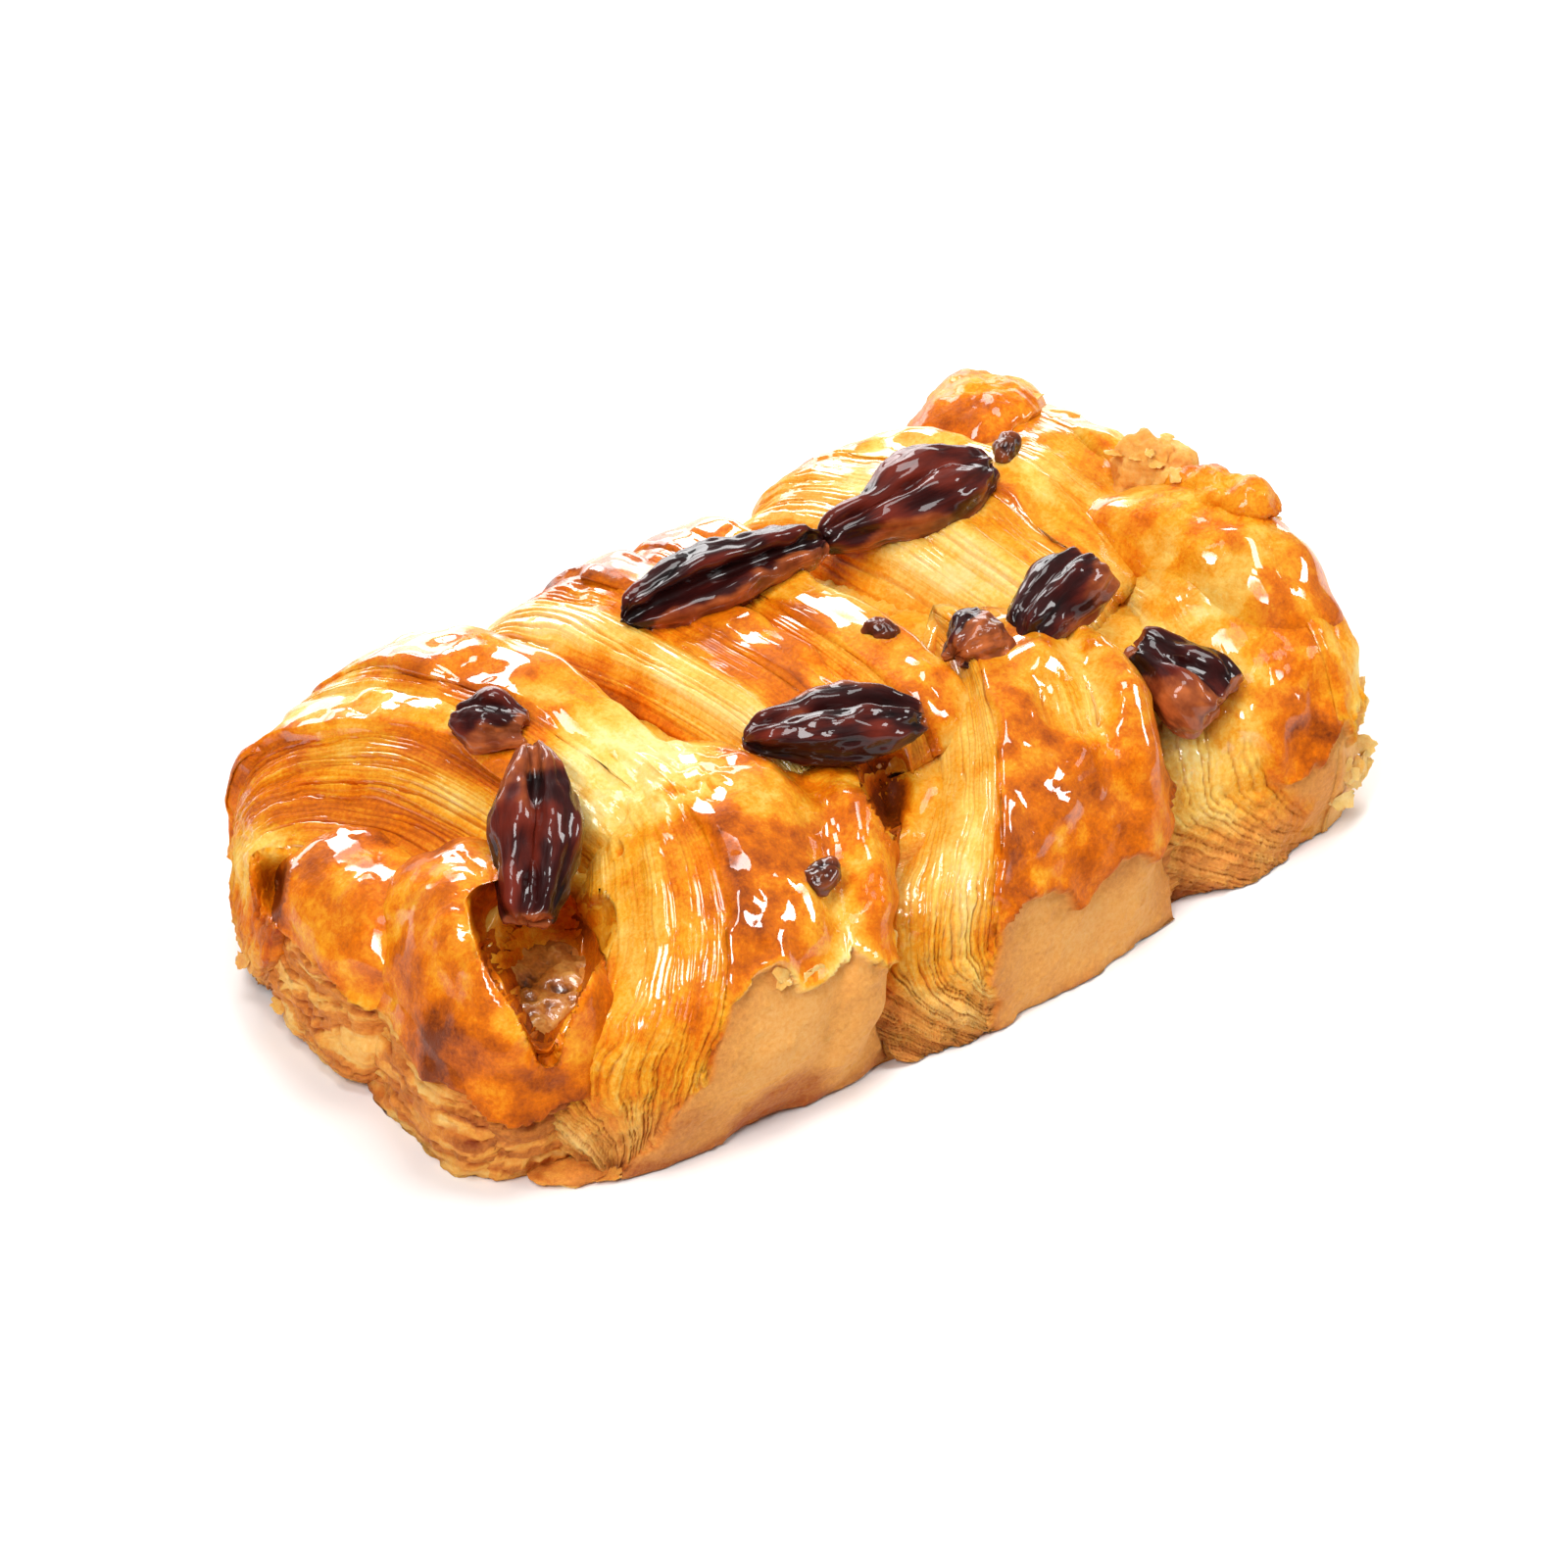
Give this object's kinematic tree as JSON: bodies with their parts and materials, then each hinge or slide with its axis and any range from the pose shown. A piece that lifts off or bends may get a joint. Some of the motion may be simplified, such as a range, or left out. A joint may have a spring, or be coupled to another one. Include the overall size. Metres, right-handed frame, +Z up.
{
  "type": "pecan plait pastry",
  "caption": "Oblong plaited pastry of laminated dough strips folded over a nut filling, glazed brown, with pecan halves and broken pieces on top.",
  "frame": {"origin": "middle of the base, on the surface the pastry rests on", "axes": "+X along the plait from its near end in the picture to its far end, +Y to its back, +Z up"},
  "size_m": [0.137, 0.081, 0.0398],
  "materials": {
    "crust": "baked laminated crust under a clear glaze",
    "filling": "moist nut paste",
    "pecan": "glazed roasted nut"
  },
  "bodies": {
    "root": {"braid": "crust", "filling": "filling", "pecan_half_back": "pecan", "pecan_half_far": "pecan", "pecan_half_middle": "pecan", "pecan_half_near": "pecan", "pecan_piece_front": "pecan", "pecan_piece_small": "pecan", "pecan_piece_end": "pecan", "pecan_piece_top": "pecan"}
  },
  "joints": []
}
